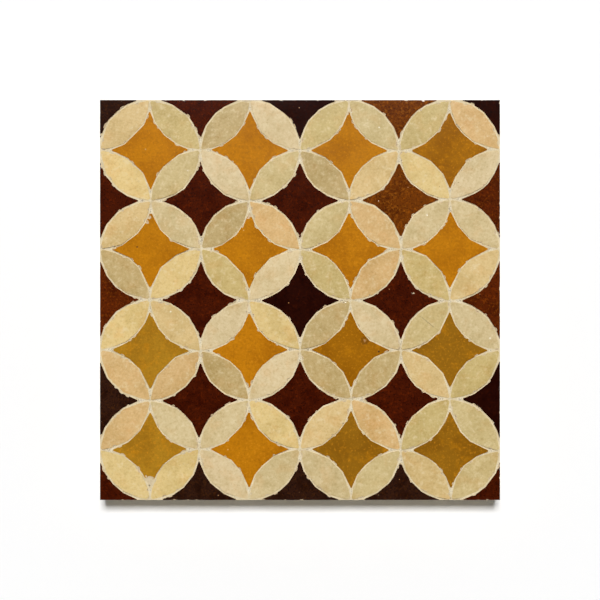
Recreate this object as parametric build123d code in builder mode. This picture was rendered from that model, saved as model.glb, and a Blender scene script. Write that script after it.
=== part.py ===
from build123d import *
from functools import cache
import math
import os
import random

# The panel, in millimetres. Its back is at z = 0 and its glazed face looks up.
PANEL = 200.0
CIRCLES = 4
THICKNESS = 20.0
BED_EDGE = 1.0

# The pieces are cut from glazed clay slabs, and the bed fills the joints to just below their faces.
CLAY = 11.0
AMBER_JOINT = 0.55
BROWN_JOINT = 0.75
RECESS = 0.5
LIPPAGE = 0.3

# The chisel leaves straight bites, three to five round a quarter circle, and blunt tips.
AMBER_BITES = (3, 4)
BROWN_BITES = (4, 5)
STAR_TIP = (0.4, 0.9)
PETAL_TIP = (0.5, 1.5)

# The star tips keep further off the circle, and end in its first degrees beside the petals' shoulders.
STAR_TIP_GAP = 0.45
TIP_ZONE = 13.5
PETAL_SHOULDER = (0.1, 0.45)

# How far the cut sides and tips lean in below the face, in degrees.
SIDE_LEAN = 3.6
STAR_TIP_LEAN = 14.0
PETAL_TIP_LEAN = 8.0

# How far a hand strays, in laying the points where petals meet and along and across a cut.
LAYING_DRIFT = 0.6
BITE_ALONG = 0.25
BITE_ACROSS = 0.2
TRIMMING = 0.07

HOLLOW, BULGING = -1, 1
QUARTER = 90
STEP = PANEL / CIRCLES / 2
LAST = 2 * CIRCLES
hand = random.Random(11)


def stray(most):
    return hand.uniform(-most, most)


def laid_point(i, j):
    """A point where petals meet, i and j half circles from the panel's lower left corner.

    Points on the panel's edge stray along it only, and points beyond it stay true.
    """
    inside = 0 <= i <= LAST and 0 <= j <= LAST
    across = stray(LAYING_DRIFT) if inside and i not in (0, LAST) else 0
    up = stray(LAYING_DRIFT) if inside and j not in (0, LAST) else 0
    return Vector(i * STEP - PANEL / 2 + across, j * STEP - PANEL / 2 + up)


meeting_points = {
    (i, j): laid_point(i, j)
    for i in range(-1, LAST + 2)
    for j in range(-1, LAST + 2)
    if (i + j) % 2
}


def points_around(i, j):
    """The four grid points where petals meet round the grid point i, j, anticlockwise."""
    return [(i + 1, j), (i, j + 1), (i - 1, j), (i, j - 1)]


@cache
def joint_along(start, end):
    """The joint on the quarter circle that runs anticlockwise from start to end.

    Gives its width and where the bites meet: their shares of the way, and how far they stray off the circle.
    The pieces on both sides of a joint are cut to the same line.
    """
    centre_i = (start[0] + end[0] + start[1] - end[1]) // 2
    width, counts = (BROWN_JOINT, BROWN_BITES) if centre_i % 2 else (AMBER_JOINT, AMBER_BITES)
    count = hand.choice(counts)
    bends = [((number + stray(BITE_ALONG)) / count, stray(BITE_ACROSS)) for number in range(1, count)]
    return width, bends


def chiselled_side(start, end, curve, tips):
    """The ends of the bites along one side of a piece, from its tip at start to its tip at end.

    Between the tips it keeps half a joint off the quarter circle that runs from start to end.
    """
    first, last = meeting_points[start], meeting_points[end]
    chord = last - first
    radius = chord.length / math.sqrt(2)
    centre = (first + last) / 2 + chord.rotate(Axis.Z, curve * QUARTER) / 2

    if curve == BULGING:
        width, bends = joint_along(start, end)
        tip_radius = radius - width / 2
        to_middle = [math.degrees(math.acos((chord.length + tip) / 2 / tip_radius)) for tip in tips]
        tip_angles = [QUARTER / 2 - angle for angle in to_middle]
    else:
        width, bends = joint_along(end, start)
        bends = [(1 - share, across) for share, across in reversed(bends)]
        tip_radius = radius + STAR_TIP_GAP
        tip_angles = [math.degrees(math.acos((radius - tip / 2) / tip_radius)) for tip in tips]

    cuts = []
    for share, across in bends:
        angle = TIP_ZONE + share * (QUARTER - 2 * TIP_ZONE)
        cuts.append((angle, radius - curve * width / 2 + across + stray(TRIMMING)))
    if curve == BULGING:
        shoulders = [tip_radius - hand.uniform(*PETAL_SHOULDER) for tip in tips]
        cuts = [(TIP_ZONE, shoulders[0]), *cuts, (QUARTER - TIP_ZONE, shoulders[1])]
    cuts = [(tip_angles[0], tip_radius), *cuts, (QUARTER - tip_angles[1], tip_radius)]
    spoke = (first - centre).normalized()
    return [centre + spoke.rotate(Axis.Z, curve * angle) * cut_radius for angle, cut_radius in cuts]


def upright(piece):
    """The sides that still stand square to the face."""
    return piece.faces().filter_by(lambda side: abs(side.normal_at().Z) < 0.01)


def cut_piece(corners, curve, tip_sizes, tip_lean):
    """A clay piece whose sides run anticlockwise from corner to corner and lean in below its face."""
    tips = [hand.uniform(*tip_sizes) for corner in corners]
    next_corners = corners[1:] + corners[:1]
    next_tips = tips[1:] + tips[:1]
    outline = []
    for start, end, *side_tips in zip(corners, next_corners, tips, next_tips):
        outline += chiselled_side(start, end, curve, side_tips)
    face_plane = Plane.XY.offset(THICKNESS - hand.uniform(0, LIPPAGE))
    back_height = THICKNESS - CLAY
    with BuildPart() as piece:
        with BuildSketch(face_plane):
            with BuildLine():
                Polyline(*outline, close=True)
            make_face()
        extrude(amount=back_height - face_plane.origin.Z)
        draft(upright(piece).sort_by(SortBy.AREA)[: len(corners)], face_plane, -tip_lean)
        draft(upright(piece), face_plane, -SIDE_LEAN)
    return piece.part


def star(i, j):
    """A four-point star with hollow sides round the grid point i, j."""
    return cut_piece(points_around(i, j), HOLLOW, STAR_TIP, STAR_TIP_LEAN)


def edge_star(i, j):
    """The half or quarter of a star that the panel's sawn edges leave."""
    whole = star(i, j)
    with BuildPart() as trimmed:
        add(whole)
        Box(PANEL, PANEL, 3 * THICKNESS, mode=Mode.INTERSECT)
    return trimmed.part


def four_petals(i, j):
    """The petals between the meeting points of the circle round the grid point i, j."""
    points = points_around(i, j)
    return [
        cut_piece([start, end], BULGING, PETAL_TIP, PETAL_TIP_LEAN)
        for start, end in zip(points, points[1:] + points[:1])
    ]


def brown_name(row, column):
    """Names a brown star by the circles' corner it fills, counted from the panel's top left corner."""
    level = {0: "top", CIRCLES: "bottom"}.get(row)
    side = {0: "left", CIRCLES: "right"}.get(column)
    if level and side:
        return f"brown_quarter_star_{level}_{side}"
    if level:
        return f"brown_half_star_{level}_{column}"
    if side:
        return f"brown_half_star_{side}_{row}"
    return f"brown_star_r{row}c{column}"


# The clay pieces, as a list of solids for each node.
nodes = {}
for row in range(1, CIRCLES + 1):
    for column in range(1, CIRCLES + 1):
        i, j = 2 * column - 1, LAST - 2 * row + 1
        nodes[f"amber_star_r{row}c{column}"] = [star(i, j)]
        nodes[f"petals_r{row}c{column}"] = four_petals(i, j)

for row in range(CIRCLES + 1):
    for column in range(CIRCLES + 1):
        at_edge = row in (0, CIRCLES) or column in (0, CIRCLES)
        make = edge_star if at_edge else star
        nodes[brown_name(row, column)] = [make(2 * column, LAST - 2 * row)]

# One pour of mortar backs the pieces and fills their joints, so each piece keys into its own socket.
with BuildPart() as mortar_bed:
    Box(PANEL, PANEL, THICKNESS - RECESS, align=(Align.CENTER, Align.CENTER, Align.MIN))
    chamfer(mortar_bed.faces().sort_by(Axis.Z)[0].edges(), BED_EDGE)
    add([piece for pieces in nodes.values() for piece in pieces], mode=Mode.SUBTRACT)
mortar_bed.part.label = "mortar_bed"

os.makedirs("parts", exist_ok=True)
export_step(mortar_bed.part, "parts/mortar_bed.step")
for name, pieces in nodes.items():
    with BuildPart() as node:
        add(pieces)
    node.part.label = name
    export_step(node.part, f"parts/{name}.step")
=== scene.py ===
import math
import random

import bmesh
import bpy
import numpy as np
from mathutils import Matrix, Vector, noise
from mathutils.bvhtree import BVHTree
from mathutils.geometry import delaunay_2d_cdt
from mathutils.kdtree import KDTree


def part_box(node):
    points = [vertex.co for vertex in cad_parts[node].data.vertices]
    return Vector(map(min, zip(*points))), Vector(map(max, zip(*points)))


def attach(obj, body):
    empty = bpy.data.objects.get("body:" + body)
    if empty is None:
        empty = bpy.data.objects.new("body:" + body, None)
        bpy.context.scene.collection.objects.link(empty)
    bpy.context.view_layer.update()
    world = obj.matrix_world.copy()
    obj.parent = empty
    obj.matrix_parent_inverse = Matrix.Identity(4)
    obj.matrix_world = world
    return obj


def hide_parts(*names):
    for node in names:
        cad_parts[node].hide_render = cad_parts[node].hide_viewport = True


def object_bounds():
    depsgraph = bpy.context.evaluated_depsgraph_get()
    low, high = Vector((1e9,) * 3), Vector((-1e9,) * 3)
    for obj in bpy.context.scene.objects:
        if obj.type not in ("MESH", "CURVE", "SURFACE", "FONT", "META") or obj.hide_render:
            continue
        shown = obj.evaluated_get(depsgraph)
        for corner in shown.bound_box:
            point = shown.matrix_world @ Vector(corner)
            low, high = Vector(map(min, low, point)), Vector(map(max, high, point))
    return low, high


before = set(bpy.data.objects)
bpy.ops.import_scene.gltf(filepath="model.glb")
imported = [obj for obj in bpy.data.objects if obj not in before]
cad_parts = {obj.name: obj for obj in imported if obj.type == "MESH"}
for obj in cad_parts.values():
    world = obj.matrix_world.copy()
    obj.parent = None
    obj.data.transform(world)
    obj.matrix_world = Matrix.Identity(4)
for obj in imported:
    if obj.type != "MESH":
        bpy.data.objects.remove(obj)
cad_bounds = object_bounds()

MM = 0.001
low, high = cad_bounds
PANEL = high.x - low.x
HALF = PANEL / 2
TOP = high.z
CIRCLES = 4
PITCH = PANEL / CIRCLES

# Spacing of the points that the surfaces are modelled with, and how far the two rings of points that
# follow a face's edge stay inside it.
EDGE_STEP = 0.7 * MM
FACE_STEP = 2.0 * MM
JOINT_STEP = 0.55 * MM
RIMS = (0.40 * MM, 1.1 * MM)

# Points closer than a weld are one point, and levels closer than a hair are one level.
WELD = 0.001 * MM
HAIR = 0.01 * MM

# Edges that turn by more degrees than this stay sharp.
CLAY_SHARP = 8
MORTAR_SHARP = 40

# The struck edge of a piece: how far it wanders and chips, and how much of that a sawn edge does.
WANDER = 0.08 * MM
SAWN_WANDER = 0.2
CHIP_DEPTH = 0.30 * MM
CHIP_WIDTH = 0.7 * MM
CHIP_EVERY = 18 * MM
SAWN_CHIPPING = 0.15

# How thick the glaze is on the clay, and how far its face swells and sinks.
GLAZE = 0.35 * MM
SWELL = 0.07 * MM

# Spacing of the points round a knock, pit, blister or crack, and how deep the deepest go.
SCAR_STEP = 0.28 * MM
SCAR_DEPTH = 0.28 * MM

# The mortar in the joints: how deep it lies on average, how uneven it is, and how deep it cracks away.
FILL = 0.42 * MM
FILL_UNEVEN = 0.16 * MM
CREVICE = 0.45 * MM

# Mortar further than about this from any clay is a knot, where the tips of four petals meet.
KNOT_WIDTH = 0.6 * MM

hand = random.Random(5)


def clamped(value):
    """The value, kept between 0 and 1."""
    return min(1.0, max(0.0, value))


def srgb(red, green, blue):
    """A colour written as it shows, 0 to 255, in the linear values that shaders take."""
    shares = [value / 255 for value in (red, green, blue)]
    linear = [v / 12.92 if v <= 0.04045 else ((v + 0.055) / 1.055) ** 2.4 for v in shares]
    return (*linear, 1.0)


# Shader nodes written as sums.


class Signal:
    """One output of a shader node. Arithmetic on it adds Math nodes to its material."""

    def __init__(self, finish, socket):
        self.finish = finish
        self.socket = socket

    def maths(self, operation, *values, clamp=False):
        settings = {"operation": operation, "use_clamp": clamp}
        return self.finish.node("ShaderNodeMath", settings, dict(enumerate(values)))

    def __add__(self, other):
        return self.maths("ADD", self, other)

    def __sub__(self, other):
        return self.maths("SUBTRACT", self, other)

    def __rsub__(self, other):
        return self.maths("SUBTRACT", other, self)

    def __mul__(self, other):
        return self.maths("MULTIPLY", self, other)

    __radd__ = __add__
    __rmul__ = __mul__

    def clamped(self):
        return self.maths("ADD", self, 0.0, clamp=True)

    def between(self, start, end):
        """0 below start and 1 above end, eased between them. start may be the higher one."""
        settings = {"interpolation_type": "SMOOTHSTEP"}
        sockets = {"Value": self, "From Min": start, "From Max": end}
        return self.finish.node("ShaderNodeMapRange", settings, sockets)


class Finish:
    """The nodes of a material or of the world, with one method that adds any node."""

    def __init__(self, owner, coordinates="Object"):
        owner.use_nodes = True
        self.owner = owner
        self.tree = owner.node_tree
        self.tree.nodes.clear()
        self.place = self.node("ShaderNodeTexCoord", output=coordinates)

    def attribute(self, name, output="Fac"):
        """A mark that the mesh carries at its points."""
        return self.node("ShaderNodeAttribute", {"attribute_name": name}, output=output)

    def shift(self, amount):
        """Moves the grain of each piece to its own part of the noise, by amount metres along Z."""
        offset = self.node("ShaderNodeCombineXYZ", sockets={"Z": amount})
        settings = {"operation": "ADD"}
        self.place = self.node("ShaderNodeVectorMath", settings, {0: self.place, 1: offset}, "Vector")

    def node(self, kind, settings=None, sockets=None, output=0):
        node = self.tree.nodes.new(kind)
        for name, value in (settings or {}).items():
            setattr(node, name, value)
        for name, value in (sockets or {}).items():
            if isinstance(value, Signal):
                self.tree.links.new(value.socket, node.inputs[name])
            else:
                node.inputs[name].default_value = value
        return Signal(self, node.outputs[output])

    def grain(self, size, detail=2.0, roughness=0.5, output="Fac"):
        """Cloudy noise with blobs of about that size."""
        sockets = {"Vector": self.place, "Scale": 1 / size, "Detail": detail, "Roughness": roughness}
        return self.node("ShaderNodeTexNoise", {"normalize": True}, sockets, output)

    def spots(self, spacing, radius, share):
        """1 inside round spots of that radius, in a share of the cells of a jittered lattice."""
        sockets = {"Vector": self.place, "Scale": 1 / spacing}
        near = self.node("ShaderNodeTexVoronoi", None, sockets, "Distance")
        colour = Signal(self, near.socket.node.outputs["Color"])
        lot = self.node("ShaderNodeSeparateColor", None, {"Color": colour})
        return near.between(radius / spacing, 0.6 * radius / spacing) * lot.between(1 - share, 1.001 - share)

    def cracks(self, spacing, width):
        """1 in the middle of fine cracks that part the surface into cells of about that spacing."""
        ragged = self.node("ShaderNodeTexNoise", None, {"Vector": self.place, "Scale": 3 / spacing}, "Color")
        bending = {0: ragged, 1: (spacing / 3,) * 3, 2: self.place}
        bent = self.node("ShaderNodeVectorMath", {"operation": "MULTIPLY_ADD"}, bending, "Vector")
        sockets = {"Vector": bent, "Scale": 1 / spacing}
        away = self.node("ShaderNodeTexVoronoi", {"feature": "DISTANCE_TO_EDGE"}, sockets, "Distance")
        return away.between(width / spacing, 0.0)

    def mix(self, share, one, other, blend="MIX"):
        """Colour one, turned into the other by share."""
        settings = {"data_type": "RGBA", "blend_type": blend}
        return self.node("ShaderNodeMix", settings, {0: share, 6: one, 7: other}, 2)

    def tinted(self, share, tone, tint):
        """The tone multiplied by the tint, by share."""
        return self.mix(share, tone, tint, "MULTIPLY")

    def bump(self, height, depth):
        """A normal that follows height, which is 0 to 1, as a relief of that depth."""
        sockets = {"Height": height, "Distance": depth, "Strength": 1.0}
        return self.node("ShaderNodeBump", None, sockets)

    def surface(self, **sockets):
        """Ends the material in one Principled shader. Socket names are written with underscores."""
        inputs = {name.replace("_", " "): value for name, value in sockets.items()}
        shader = self.node("ShaderNodeBsdfPrincipled", None, inputs)
        return self.end(shader, "ShaderNodeOutputMaterial")

    def end(self, shader, kind):
        """Links the shader to the output node of that kind and gives back the finished material or world."""
        output = self.tree.nodes.new(kind)
        self.tree.links.new(shader.socket, output.inputs["Surface"])
        return self.owner


def new_material(name):
    return Finish(bpy.data.materials.new(name))


# The finishes.


def bare_clay(finish):
    """The buff body of the pieces, as their chips and sawn sides show it: gritty, with a few dark pores."""
    grit = finish.grain(0.6 * MM, 3.0, 0.7)
    fired = finish.grain(7 * MM, 3.0, 0.6)
    colour = finish.mix(fired.between(0.35, 0.70) * 0.5, srgb(216, 198, 162), srgb(206, 172, 130))
    colour = finish.mix(grit.between(0.45, 0.72) * 0.5, colour, srgb(176, 148, 108))
    return finish.mix(finish.spots(2.6 * MM, 0.30 * MM, 0.35) * 0.7, colour, srgb(112, 86, 62))


def glazed(finish, glaze, gloss, unevenness, holes):
    """Finishes glazed clay: glaze with its sheen, pinholes and dirty pits, and matt clay where it is off."""
    bare = finish.attribute("bare").between(0.03, 0.25)
    stained = finish.attribute("stained")
    colour = finish.mix(bare, glaze, bare_clay(finish))
    colour = finish.mix(stained * 0.85, colour, srgb(52, 34, 24))
    roughness = bare * 0.75 + unevenness * 0.05 + gloss
    relief = unevenness * 0.2 + (1 - holes) * 0.8
    normal = finish.bump(relief, 0.04 * MM)
    return finish.surface(Base_Color=colour, Roughness=roughness, Normal=normal, IOR=1.5)


def amber_glaze():
    """Honey glaze, pooled darker in places, with a fine speckle and a few bright pinholes."""
    finish = new_material("amber_glaze")
    finish.shift(finish.attribute("slab"))
    tone = finish.attribute("tone", "Color")
    pooled = finish.grain(16 * MM, 3.0, 0.55)
    thin = finish.grain(6 * MM, 4.0, 0.65)
    speckle = finish.grain(1.2 * MM, 3.0, 0.7)
    glaze = finish.tinted(pooled.between(0.40, 0.68), tone, srgb(232, 226, 214))
    glaze = finish.mix(thin.between(0.50, 0.72) * 0.32, glaze, srgb(214, 139, 16))
    glaze = finish.mix(speckle.between(0.50, 0.72) * 0.38, glaze, srgb(134, 84, 14))
    glaze = finish.mix(speckle.between(0.48, 0.28) * 0.45, glaze, srgb(226, 148, 34))
    holes = finish.spots(7 * MM, 0.42 * MM, 0.16)
    glaze = finish.mix(holes * 0.75, glaze, srgb(230, 178, 98))
    return glazed(finish, glaze, 0.07, speckle, holes)


def cream_glaze():
    """Milky glaze, clouded in straw, rose and grey, with small brown specks and pale pinholes."""
    finish = new_material("cream_glaze")
    finish.shift(finish.attribute("slab"))
    tone = finish.attribute("tone", "Color")
    clouds = finish.grain(14 * MM, 2.0, 0.5)
    rose = finish.grain(8 * MM, 3.0, 0.6)
    mottle = finish.grain(3.2 * MM, 4.0, 0.65)
    fine = finish.grain(1.1 * MM, 2.0, 0.7)
    glaze = finish.tinted(clouds.between(0.42, 0.66) * 0.8, tone, srgb(240, 238, 228))
    glaze = finish.tinted(rose.between(0.48, 0.70) * 0.7, glaze, srgb(255, 244, 232))
    glaze = finish.tinted(mottle.between(0.50, 0.72) * 0.6, glaze, srgb(236, 230, 216))
    glaze = finish.mix(mottle.between(0.48, 0.30) * 0.40, glaze, srgb(238, 220, 178))
    glaze = finish.tinted(fine.between(0.50, 0.74) * 0.6, glaze, srgb(228, 220, 204))
    glaze = finish.mix(fine.between(0.48, 0.28) * 0.24, glaze, srgb(240, 224, 188))
    stains = finish.spots(24 * MM, 2.6 * MM, 0.22) * mottle.between(0.40, 0.62)
    glaze = finish.tinted(stains * 0.7, glaze, srgb(214, 198, 186))
    specks = finish.spots(5 * MM, 0.32 * MM, 0.16)
    glaze = finish.mix(specks * 0.6, glaze, srgb(142, 106, 58))
    holes = finish.spots(8 * MM, 0.60 * MM, 0.16)
    glaze = finish.mix(holes * 0.75, glaze, srgb(246, 234, 204))
    return glazed(finish, glaze, 0.11, fine, holes)


def brown_glaze():
    """Dark iron glaze, red-brown where it is thin, ochre where it is mottled, with rare pale specks."""
    finish = new_material("brown_glaze")
    finish.shift(finish.attribute("slab"))
    tone = finish.attribute("tone", "Color")
    mottled = finish.attribute("mottled")
    clouds = finish.grain(8 * MM, 4.0, 0.65)
    dark = finish.grain(0.9 * MM, 2.0, 0.7)
    red = finish.grain(1.4 * MM, 3.0, 0.7)
    glaze = finish.tinted(clouds.between(0.42, 0.68) * 0.7, tone, srgb(186, 160, 140))
    red_glow = (2.5, 2.4, 0.8, 1)
    glaze = finish.tinted(red.between(0.50, 0.70) * 0.55, glaze, red_glow)
    glaze = finish.tinted(dark.between(0.50, 0.70), glaze, srgb(172, 172, 200))
    ochre = red.between(0.46, 0.70) * clouds.between(0.34, 0.60)
    glaze = finish.mix(ochre * mottled * 0.6, glaze, srgb(156, 96, 26))
    specks = finish.spots(5 * MM, 0.34 * MM, 0.20)
    glaze = finish.mix(specks * 0.8, glaze, srgb(196, 136, 84))
    return glazed(finish, glaze, 0.05, dark, specks)


def cream_mortar():
    """Pale mortar: whiter and cracked in the knots between tips, sandy, dark in its pores, and darker with
    dirt and painted shade in the crevices below the clay.
    """
    finish = new_material("cream_mortar")
    sand = finish.grain(0.5 * MM, 3.0, 0.7)
    wash = finish.grain(5 * MM, 3.0, 0.6)
    knot = finish.attribute("knot")
    crevice_dirt_and_shade = finish.attribute("crevice_dirt_and_shade")
    colour = finish.mix(wash.between(0.30, 0.74), srgb(233, 217, 180), srgb(214, 195, 152))
    colour = finish.mix(knot * 0.75, colour, srgb(240, 231, 208))
    colour = finish.mix(sand.between(0.46, 0.68) * (knot * 0.8 + 0.25), colour, srgb(160, 142, 114))
    cracked = finish.cracks(2.4 * MM, 0.13 * MM) * wash.between(0.44, 0.54) * knot.between(0.1, 0.6)
    colour = finish.mix(cracked * 0.8, colour, srgb(112, 92, 70))
    pores = finish.spots(1.7 * MM, 0.30 * MM, 0.36)
    colour = finish.mix(pores * (knot * 0.6 + 0.25), colour, srgb(118, 98, 74))
    # Dirt and painted shade in the crevices below the clay pieces.
    colour = finish.mix(crevice_dirt_and_shade * sand.between(0.25, 0.55), colour, srgb(112, 92, 70))
    normal = finish.bump(sand * 0.4 + (1 - pores) * 0.3 + (1 - cracked) * 0.3, 0.16 * MM)
    return finish.surface(Base_Color=colour, Roughness=0.9, Normal=normal)


# Reading the cut pieces from the solids.


def clean_copy(node):
    """The node's mesh with its triangles joined back into flat facets."""
    mesh = bmesh.new()
    mesh.from_mesh(node.data)
    bmesh.ops.remove_doubles(mesh, verts=mesh.verts, dist=WELD)
    bmesh.ops.dissolve_limit(mesh, angle_limit=math.radians(0.5), verts=mesh.verts, edges=mesh.edges)
    return mesh


def cut_pieces(node):
    """For each clay piece in a node, its face corners anticlockwise, each with the back corner below."""
    mesh = clean_copy(node)
    pieces = []
    for facet in mesh.faces:
        if facet.normal.z < 0.99:
            continue
        corners = []
        for corner in facet.verts:
            others = [edge.other_vert(corner) for edge in corner.link_edges]
            below = next(other for other in others if other not in facet.verts[:])
            corners.append((corner.co.copy(), below.co.copy()))
        pieces.append(corners)
    mesh.free()
    return pieces


def walk_round(corners):
    """Evenly spaced points round the face edge of a piece, and the points below them on its back."""
    face, back = [], []
    for (top, below), (next_top, next_below) in zip(corners, corners[1:] + corners[:1]):
        steps = max(1, round((next_top - top).length / EDGE_STEP))
        for step in range(steps):
            face.append(top.lerp(next_top, step / steps))
            back.append(below.lerp(next_below, step / steps))
    return np.array(face), np.array(back)


def inward(outline):
    """Unit vectors into the piece at the points of an anticlockwise outline."""
    run = np.roll(outline, -1, axis=0) - np.roll(outline, 1, axis=0)
    normals = np.stack([-run[:, 1], run[:, 0]], axis=1)
    return normals / np.maximum(np.linalg.norm(normals, axis=1, keepdims=True), 1e-9)


def distance_to(outline, points):
    """How far each point lies from the closed outline, both in plan."""
    start = outline[None, :, :]
    run = np.roll(outline, -1, axis=0)[None, :, :] - start
    offset = points[:, None, :] - start
    share = np.clip((offset * run).sum(2) / np.maximum((run * run).sum(2), 1e-18), 0, 1)
    return np.linalg.norm(offset - share[:, :, None] * run, axis=2).min(1)


def inside(outline, points):
    """True for the points that the closed outline holds, in plan."""
    x, y = points[:, 0:1], points[:, 1:2]
    x1, y1 = outline[:, 0][None], outline[:, 1][None]
    x2, y2 = np.roll(x1, -1), np.roll(y1, -1)
    crosses = (y1 > y) != (y2 > y)
    with np.errstate(divide="ignore", invalid="ignore"):
        left = x < x1 + (y - y1) * (x2 - x1) / (y2 - y1)
    return (crosses & left).sum(1) % 2 == 1


def chips(outline):
    """How far the struck edge is chipped in at each point, in metres."""
    lengths = np.linalg.norm(np.roll(outline, -1, axis=0) - outline, axis=1)
    along = np.concatenate([[0], np.cumsum(lengths)[:-1]])
    total = lengths.sum()
    depth = np.zeros(len(outline))
    for _ in range(max(1, round(total / CHIP_EVERY * hand.uniform(0.6, 1.4)))):
        middle = hand.uniform(0, total)
        width = CHIP_WIDTH * hand.uniform(0.6, 1.5)
        most = CHIP_DEPTH * hand.uniform(0.4, 1.3)
        away = np.abs((along - middle + total / 2) % total - total / 2)
        depth = np.maximum(depth, most * np.clip(1 - (away / width) ** 2, 0, None))
    return depth


def wander(outline, seed):
    """The small unevenness of a chiselled edge, from 0 to 1."""
    return np.array([
        0.5 + 0.5 * noise.fractal(Vector((x / (1.6 * MM), y / (1.6 * MM), seed)), 1.0, 2.0, 2)
        for x, y in outline
    ]).clip(0, 1)


def swell(x, y, seed):
    """The gentle unevenness of a glazed face, from 0 to 1."""
    return clamped(0.5 + 0.7 * noise.noise(Vector((x / (14 * MM), y / (14 * MM), seed))))


class Scar:
    """A mark of use or firing on a glazed face, round the line from start to end or round one point."""

    def __init__(self, kind, radius, start, end=None):
        self.kind = kind
        self.radius = radius * MM
        self.start = Vector(start) * MM
        self.run = Vector(end or start) * MM - self.start

    def distance(self, x, y):
        offset = Vector((x, y)) - self.start
        share = offset.dot(self.run) / max(self.run.length_squared, 1e-12)
        return (offset - self.run * clamped(share)).length

    def points(self):
        """Close points that the face needs to take the mark's shape."""
        reach = self.radius + SCAR_STEP
        low_x, high_x = sorted((self.start.x, self.start.x + self.run.x))
        low_y, high_y = sorted((self.start.y, self.start.y + self.run.y))
        places = [
            (x, y)
            for x in np.arange(low_x - reach, high_x + reach, SCAR_STEP)
            for y in np.arange(low_y - reach, high_y + reach, SCAR_STEP)
        ]
        return np.array([place for place in places if self.distance(*place) < reach])

    def at(self, x, y):
        """How far the face is sunk there, how bare it is and how dark its stain.

        A knock is deep and bare, a pit deep and dark and a crack faint, and a blister is a dark ring
        round a light core.
        """
        ragged = noise.noise(Vector((x / (0.9 * MM), y / (0.9 * MM), 1.0)))
        away = self.distance(x, y) / self.radius + 0.3 * ragged
        within = clamped((1.0 - away) * 5)
        if self.kind == "knock":
            return SCAR_DEPTH * within, within, 0.0
        if self.kind == "pit":
            return SCAR_DEPTH * within, 0.0, within
        if self.kind == "crack":
            return 0.05 * SCAR_DEPTH * within, 0.0, 0.4 * within
        core = clamped((0.38 - away) * 8)
        ring = within - core
        return 0.06 * SCAR_DEPTH * ring, 0.09 * core, 0.45 * ring


def visible_piece(name, points, faces, marks, material, sharp):
    """A smooth mesh with each mark's values at its points. Edges that turn by over sharp degrees show."""
    mesh = bpy.data.meshes.new(name)
    mesh.from_pydata(points, [], faces)
    for mark, values in marks.items():
        attribute = mesh.attributes.new(mark, "FLOAT", "POINT")
        attribute.data.foreach_set("value", np.array(values, np.float32))
    mesh.materials.append(material)
    mesh.shade_smooth()
    mesh.set_sharp_from_angle(angle=math.radians(sharp))
    piece = bpy.data.objects.new(name, mesh)
    bpy.context.scene.collection.objects.link(piece)
    return piece


class Body:
    """Points, faces and marks of one glazed piece or four petals, gathered as they are modelled."""

    def __init__(self):
        self.points = []
        self.faces = []
        self.marks = {"bare": [], "stained": [], "slab": [], "mottled": []}
        self.tones = []

    def start_piece(self, tone, mottled):
        self.tone = tone
        self.mottled = mottled
        self.slab = hand.uniform(0, 1)

    def ring(self, points, bare, stained=0.0):
        """Adds points of the current piece, marked by how bare their clay is and how dark its stain."""
        first = len(self.points)
        self.points += [tuple(point) for point in points]
        self.marks["bare"] += list(np.broadcast_to(bare, len(points)))
        self.marks["stained"] += list(np.broadcast_to(stained, len(points)))
        self.marks["slab"] += [self.slab] * len(points)
        self.marks["mottled"] += [self.mottled] * len(points)
        self.tones += [self.tone] * len(points)
        return list(range(first, first + len(points)))

    def band(self, upper, lower):
        """The strip of faces between two rings of as many points."""
        for number, point in enumerate(upper):
            following = (number + 1) % len(upper)
            self.faces.append((point, lower[number], lower[following], upper[following]))

    def as_piece(self, name, material):
        piece = visible_piece(name, self.points, self.faces, self.marks, material, CLAY_SHARP)
        tone = piece.data.attributes.new("tone", "FLOAT_COLOR", "POINT")
        tone.data.foreach_set("color", np.array(self.tones, np.float32).ravel())
        return piece


def face_points(edge, normals, middle, scars):
    """The points inside a face's edge: two rims, an offset grid, and closer ones at each scar."""
    reach = np.arange(-0.55 * PITCH, 0.55 * PITCH, FACE_STEP)
    grid = np.array([(x + (row % 2) * FACE_STEP / 2, y) for row, y in enumerate(reach) for x in reach])
    candidates = [*(edge + normals * rim for rim in RIMS), grid + middle]
    clearances = [*(0.85 * rim for rim in RIMS), RIMS[-1] + 0.6 * FACE_STEP]
    kept = []
    for points, clearance in zip(candidates, clearances):
        points = points[inside(edge, points)]
        points = points[distance_to(edge, points) > clearance]
        for scar in scars:
            points = points[[scar.distance(*p) > scar.radius + 1.5 * SCAR_STEP for p in points]]
        kept.append(points)
    for scar in scars:
        points = scar.points()
        points = points[inside(edge, points)]
        kept.append(points[distance_to(edge, points) > 0.6 * SCAR_STEP])
    return np.concatenate(kept)


def triangulated(edge, inner):
    """The face in plan: its points, its triangles, and the number of each point that is on the edge."""
    flat = [Vector(point) for point in np.concatenate([edge, inner])]
    constraint = [list(range(len(edge)))]
    points, _, triangles, origin, _, _ = delaunay_2d_cdt(flat, [], constraint, 1, 1e-7)
    on_edge = [sources[0] if sources and sources[0] < len(edge) else None for sources in origin]
    return points, triangles, on_edge


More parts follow.
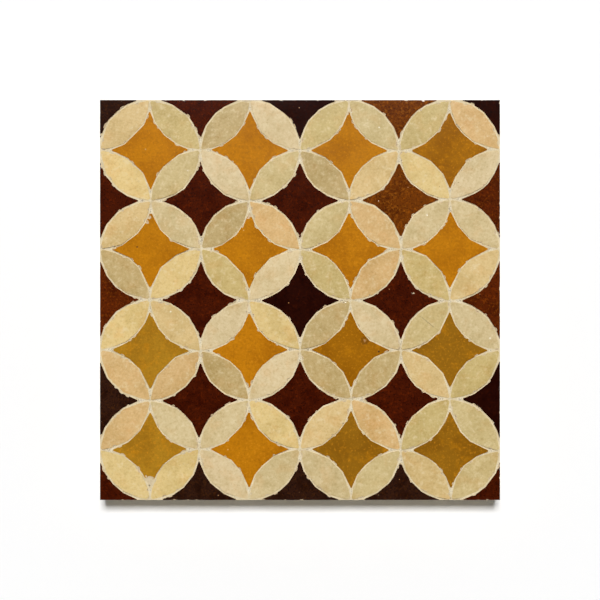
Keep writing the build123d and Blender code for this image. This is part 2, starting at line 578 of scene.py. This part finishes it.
def model_clay(body, corners, scars):
    """Adds one chiselled clay piece: glazed face with its scars, chipped edge, leaning sides and back."""
    face, back = walk_round(corners)
    plan = face[:, :2]
    height = face[0, 2]
    seed = hand.uniform(0, 100)
    normals = inward(plan)
    chipped = chips(plan)
    sawn = np.abs(plan).max(1) > HALF - HAIR
    chipped[sawn] *= SAWN_CHIPPING
    setback = WANDER * wander(plan, seed) * np.where(sawn, SAWN_WANDER, 1) + chipped
    edge = plan + normals * setback[:, None]
    bare = np.clip(chipped / (0.3 * CHIP_DEPTH), 0, 1)

    inner = face_points(edge, normals, plan.mean(0), scars)
    places, triangles, on_edge = triangulated(edge, inner)
    points, bares, stains = [], [], []
    for (x, y), number in zip(places, on_edge):
        marks = [scar.at(x, y) for scar in scars]
        marks.append((0.0, 0.0, 0.0) if number is None else (0.8 * chipped[number], bare[number], 0.0))
        sunk, bared, stained = (max(values) for values in zip(*marks))
        points.append((x, y, height - SWELL * swell(x, y, seed) - sunk))
        bares.append(bared)
        stains.append(stained)
    glazed_face = body.ring(points, bares, stains)
    body.faces += [tuple(glazed_face[index] for index in triangle) for triangle in triangles]
    found = {number: index for index, number in enumerate(on_edge) if number is not None}
    rim = [glazed_face[found[number]] for number in range(len(edge))]

    under_glaze = np.column_stack([plan, height - GLAZE - chipped])
    last = body.ring(under_glaze, 1.0)
    body.band(rim, last)
    for share in (0.35, 0.7, 1.0):
        lower = body.ring(under_glaze * (1 - share) + back * share, 1.0)
        body.band(last, lower)
        last = lower
    body.faces.append(tuple(reversed(last)))


# The mortar.


def relief(x, y, under_clay):
    """The height of the mortar in a joint, and how far it has cracked away below a clay piece, which also
    darkens the mortar there with dirt and painted shade.
    """
    crevice_dirt_and_shade = noise.noise(Vector((x / (16 * MM), y / (16 * MM), 3.0)))
    # Only joints below a clay piece in the picture crack away, on the side where the top lamp's shade falls;
    # the same share darkens the mortar there with dirt and painted shade.
    crevice_dirt_and_shade = clamped(2.2 * crevice_dirt_and_shade + 0.15) * under_clay
    rough = 0.65 * noise.noise(Vector((x / (2.2 * MM), y / (2.2 * MM), 9.0)))
    rough += 0.35 * noise.noise(Vector((x / (0.8 * MM), y / (0.8 * MM), 5.0)))
    return TOP - FILL + FILL_UNEVEN * rough - CREVICE * crevice_dirt_and_shade, crevice_dirt_and_shade


class Cap:
    """The flat top of the cast bed, between the clay pieces."""

    def __init__(self, mesh):
        self.level = max(vert.co.z for vert in mesh.verts)
        self.faces = {face for face in mesh.faces if self.at_top(face)}
        corners = [vert.co.copy() for face in self.faces for vert in face.verts]
        triangles = [(3 * number, 3 * number + 1, 3 * number + 2) for number in range(len(self.faces))]
        self.tree = BVHTree.FromPolygons(corners, triangles)

    def at_top(self, face):
        return face.normal.z > 0.99 and face.verts[0].co.z > self.level - HAIR

    def holds(self, x, y):
        return self.tree.ray_cast(Vector((x, y, 2 * self.level)), Vector((0, 0, -1)))[0] is not None


def divide_rim(mesh, cap, points):
    """Adds points along the edges round the joints.

    Gives the numbers of the points along each edge, and how squarely each point lies below a clay piece
    in the picture, from 0 to 1.
    """
    stops = {}
    under_clay = {}
    for edge in mesh.edges:
        if len(cap.faces.intersection(edge.link_faces)) != 1:
            continue
        start, end = edge.verts
        steps = max(1, round(edge.calc_length() / JOINT_STEP))
        stops[edge] = [start.index, *range(len(points), len(points) + steps - 1), end.index]
        points += [start.co.lerp(end.co, step / steps) for step in range(1, steps)]
        wall = next(face for face in edge.link_faces if face not in cap.faces)
        for number in stops[edge]:
            under_clay[number] = max(0.0, wall.normal.y)
    return stops, under_clay


def walls_below(mesh, cap, stops):
    """The faces of the bed's sides, sockets and back, which take in the new points of the rim."""
    walls = []
    for face in mesh.faces:
        if face in cap.faces:
            continue
        outline = []
        for corner in face.loops:
            along = stops.get(corner.edge, [corner.vert.index, None])
            outline += along[:-1] if along[0] == corner.vert.index else along[:0:-1]
        walls.append(outline)
    return walls


def points_in_joints(cap, rim_points):
    """Unevenly spaced points on the cap, and how far each is from the rim of the joints."""
    near_rim = KDTree(len(rim_points))
    for number, point in enumerate(rim_points):
        near_rim.insert((point.x, point.y, 0), number)
    near_rim.balance()
    inner, clearances = [], []
    for row in range(int(PANEL / JOINT_STEP)):
        for column in range(int(PANEL / JOINT_STEP)):
            x = (column + 0.5 + hand.uniform(-0.3, 0.3)) * JOINT_STEP - HALF
            y = (row + 0.5 + hand.uniform(-0.3, 0.3)) * JOINT_STEP - HALF
            clearance = near_rim.find((x, y, 0))[2]
            if clearance > 0.5 * JOINT_STEP and cap.holds(x, y):
                inner.append(Vector((x, y)))
                clearances.append(clearance)
    return inner, clearances


def pour_mortar(node, material):
    """The cast bed: its sides and sockets as they are, and its joints filled to just below the faces."""
    mesh = bmesh.new()
    mesh.from_mesh(node.data)
    bmesh.ops.remove_doubles(mesh, verts=mesh.verts, dist=WELD)
    mesh.verts.index_update()
    points = [vert.co.copy() for vert in mesh.verts]
    cap = Cap(mesh)
    stops, under_clay = divide_rim(mesh, cap, points)
    faces = walls_below(mesh, cap, stops)
    mesh.free()

    rim = sorted(under_clay)
    place = {number: order for order, number in enumerate(rim)}
    borders = [(place[a], place[b]) for along in stops.values() for a, b in zip(along, along[1:])]
    inner, clearances = points_in_joints(cap, [points[number] for number in rim])
    flat = [points[number].xy for number in rim] + inner
    verts, _, triangles, origin, _, _ = delaunay_2d_cdt(flat, borders, [], 0, 1e-8)

    crevice_dirt_and_shade = np.zeros(len(points) + len(verts))
    knots = np.zeros(len(points) + len(verts))
    filled = []
    for (x, y), sources in zip(verts, origin):
        number = rim[sources[0]] if sources and sources[0] < len(rim) else len(points)
        if number == len(points):
            points.append(Vector((x, y, cap.level)))
            if sources:
                knots[number] = clamped(clearances[sources[0] - len(rim)] / KNOT_WIDTH - 0.6)
        points[number].z, crevice_dirt_and_shade[number] = relief(x, y, under_clay.get(number, 0.0))
        filled.append(number)
    for triangle in triangles:
        numbers = [filled[index] for index in triangle]
        middle = sum((points[number] for number in numbers), Vector()) / 3
        if cap.holds(middle.x, middle.y):
            faces.append(numbers)
    marks = {"crevice_dirt_and_shade": crevice_dirt_and_shade[: len(points)], "knot": knots[: len(points)]}
    return visible_piece("poured_mortar_bed", points, faces, marks, material, MORTAR_SHARP)


# The batches of glaze.

HONEY = srgb(192, 122, 14)
TOBACCO = srgb(160, 102, 10)
GOLD = srgb(178, 129, 32)
OLIVE = srgb(150, 102, 20)
AMBER = {
    "amber_star_r1c4": TOBACCO,
    "amber_star_r3c1": GOLD,
    "amber_star_r3c3": TOBACCO,
    "amber_star_r3c4": OLIVE,
    "amber_star_r4c1": GOLD,
    "amber_star_r4c3": OLIVE,
    "amber_star_r4c4": OLIVE,
}

# The tones of the petals, as many of each, dealt out in any order.
CREAM = {
    "ivory": srgb(226, 204, 160),
    "straw": srgb(230, 202, 138),
    "cream": srgb(218, 196, 148),
    "butter": srgb(224, 194, 136),
    "oat": srgb(212, 190, 136),
    "peach": srgb(222, 184, 126),
    "olive_straw": srgb(208, 184, 122),
    "dun": srgb(198, 172, 118),
}
PETALS = 4 * CIRCLES * CIRCLES
dealt = [*CREAM.values()] * (PETALS // len(CREAM))
random.Random(1).shuffle(dealt)

# The tone of a brown star, and how much ochre mottles it.
OXBLOOD = (srgb(70, 22, 5), 0.0)
UMBER = (srgb(50, 26, 16), 0.0)
SOOT = (srgb(40, 10, 4), 0.0)
RUST = (srgb(90, 34, 6), 0.3)
OCHRE = (srgb(112, 55, 8), 0.8)
BROWN = {
    "brown_star_r1c3": OCHRE,
    "brown_half_star_top_3": OCHRE,
    "brown_half_star_right_1": RUST,
    "brown_half_star_right_2": RUST,
    "brown_half_star_left_2": RUST,
    "brown_half_star_top_2": SOOT,
    "brown_star_r2c2": SOOT,
    "brown_half_star_right_3": SOOT,
    "brown_quarter_star_top_right": SOOT,
    "brown_half_star_left_3": UMBER,
    "brown_quarter_star_top_left": UMBER,
}
for number in range(1, CIRCLES):
    BROWN[f"brown_half_star_bottom_{number}"] = UMBER

# Where glaze is knocked off, pitted, blistered or cracked, in millimetres from the panel's middle.
SCARS = {
    "amber_star_r4c1": [Scar("knock", 2.9, (-75.3, -90.9)), Scar("pit", 0.45, (-75.5, -92.8))],
    "amber_star_r2c2": [Scar("knock", 1.7, (-25.3, 43.2))],
    "amber_star_r2c1": [
        Scar("knock", 0.8, (-75.2, 41.4)),
        Scar("knock", 0.7, (-76.3, 38.8)),
        Scar("pit", 0.45, (-81.5, 26.5)),
    ],
    "amber_star_r3c3": [Scar("blister", 2.3, (32.3, -20.3)), Scar("pit", 0.5, (39.4, -25.8))],
    "petals_r3c4": [Scar("crack", 0.22, (60.4, -8.2), (66.8, -13.6))],
    "brown_star_r2c3": [Scar("knock", 0.35, (56.9, 3.4))],
}


def jitter(colour, most):
    """The colour a little lighter or darker and a little warmer or cooler."""
    light = 1 + hand.uniform(-most, most)
    warm = hand.uniform(-most, most) * 0.4
    red, green, blue, _ = colour
    return (red * light * (1 + warm), green * light, blue * light * (1 - warm), 1.0)


def tone_of(name):
    """The tone of the next clay piece of the node, and how much ochre mottles it."""
    if name.startswith("amber"):
        return jitter(AMBER.get(name, HONEY), 0.03), 0.0
    if name.startswith("petals"):
        return jitter(dealt.pop(), 0.03), 0.0
    tone, mottled = BROWN.get(name, OXBLOOD)
    return jitter(tone, 0.05), mottled


def in_laying_order(pieces, centre):
    """The pieces anticlockwise round the centre, as petals are laid round their star, from the lower left."""

    def direction(corners):
        middle = sum((top for top, _ in corners), Vector()) / len(corners)
        return math.atan2(middle.y - centre.y, middle.x - centre.x)

    return sorted(pieces, key=direction)


families = {
    "amber": (amber_glaze(), "amber_glazed_clay"),
    "petals": (cream_glaze(), "cream_glazed_clay"),
    "brown": (brown_glaze(), "brown_glazed_clay"),
}
for name in sorted(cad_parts):
    family = name.split("_")[0]
    if family not in families:
        continue
    glaze, slot = families[family]
    body = Body()
    centre = sum(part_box(name), Vector()) / 2
    for corners in in_laying_order(cut_pieces(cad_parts[name]), centre):
        body.start_piece(*tone_of(name))
        model_clay(body, corners, SCARS.get(name, []))
    piece = body.as_piece(f"glazed_{name}", glaze)
    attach(piece, "root")
    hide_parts(name)

bed = pour_mortar(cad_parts["mortar_bed"], cream_mortar())
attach(bed, "root")
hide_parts("mortar_bed")

# The studio.

BLACK = (0, 0, 0, 1)
WHITE = (1, 1, 1, 1)

scene = bpy.context.scene
scene.view_settings.view_transform = "Standard"

LENS = 110.0
SENSOR = 36.0
PHOTO_WIDTH = 600
PANEL_PIXELS = 400
view_width = PANEL * PHOTO_WIDTH / PANEL_PIXELS
camera_data = bpy.data.cameras.new("camera")
camera_data.lens = LENS
camera_data.sensor_width = SENSOR
camera = bpy.data.objects.new("camera", camera_data)
camera.location = (0, 0, TOP + view_width * LENS / SENSOR)
scene.collection.objects.link(camera)
scene.camera = camera


def lamp(name, azimuth, elevation, distance, width, depth, power):
    """A soft box that looks at the panel's middle. Azimuth 0 is at the top of the picture."""
    data = bpy.data.lights.new(name, "AREA")
    data.shape = "RECTANGLE"
    data.size = width
    data.size_y = depth
    data.energy = power
    turn, lift = math.radians(azimuth), math.radians(elevation)
    spot = Vector((math.sin(turn) * math.cos(lift), math.cos(turn) * math.cos(lift), math.sin(lift)))
    light = bpy.data.objects.new(name, data)
    light.location = spot * distance
    light.rotation_euler = spot.to_track_quat("Z", "Y").to_euler()
    scene.collection.objects.link(light)


lamp("key_softbox", azimuth=0, elevation=72, distance=8.0, width=1.85, depth=1.55, power=612)

# The room is white near the floor and dark overhead, so the glaze keeps its depth.
room = Finish(bpy.data.worlds.new("studio"), "Generated")
height = room.node("ShaderNodeSeparateXYZ", sockets={"Vector": room.place}, output="Z")
glow = room.mix(height.between(0.55, 0.0), BLACK, WHITE)
backdrop = room.node("ShaderNodeBackground", sockets={"Color": glow, "Strength": 1.0})
scene.world = room.end(backdrop, "ShaderNodeOutputWorld")

# White paper, shown a touch lighter than it is lit, so that it reads as white and keeps the shadow.
FLOOR_REACH = 1.5
FLOOR_LIFT = (0.03, 0.03, 0.03, 1)
floor_mesh = bpy.data.meshes.new("floor")
square = [(x * FLOOR_REACH, y * FLOOR_REACH, 0) for x, y in ((-1, -1), (1, -1), (1, 1), (-1, 1))]
floor_mesh.from_pydata(square, [], [(0, 1, 2, 3)])
floor = bpy.data.objects.new("floor", floor_mesh)
scene.collection.objects.link(floor)
paper = new_material("white_paper")
camera_ray, glossy_ray, through_ray = (
    paper.node("ShaderNodeLightPath", output=name)
    for name in ("Is Camera Ray", "Is Glossy Ray", "Is Transmission Ray")
)
seen = (camera_ray + glossy_ray + through_ray).clamped()
floor_mesh.materials.append(paper.surface(
    Base_Color=(0.98, 0.98, 0.98, 1), Roughness=0.9, Specular_IOR_Level=0.1,
    Emission_Color=paper.mix(seen, BLACK, FLOOR_LIFT), Emission_Strength=1.0,
))
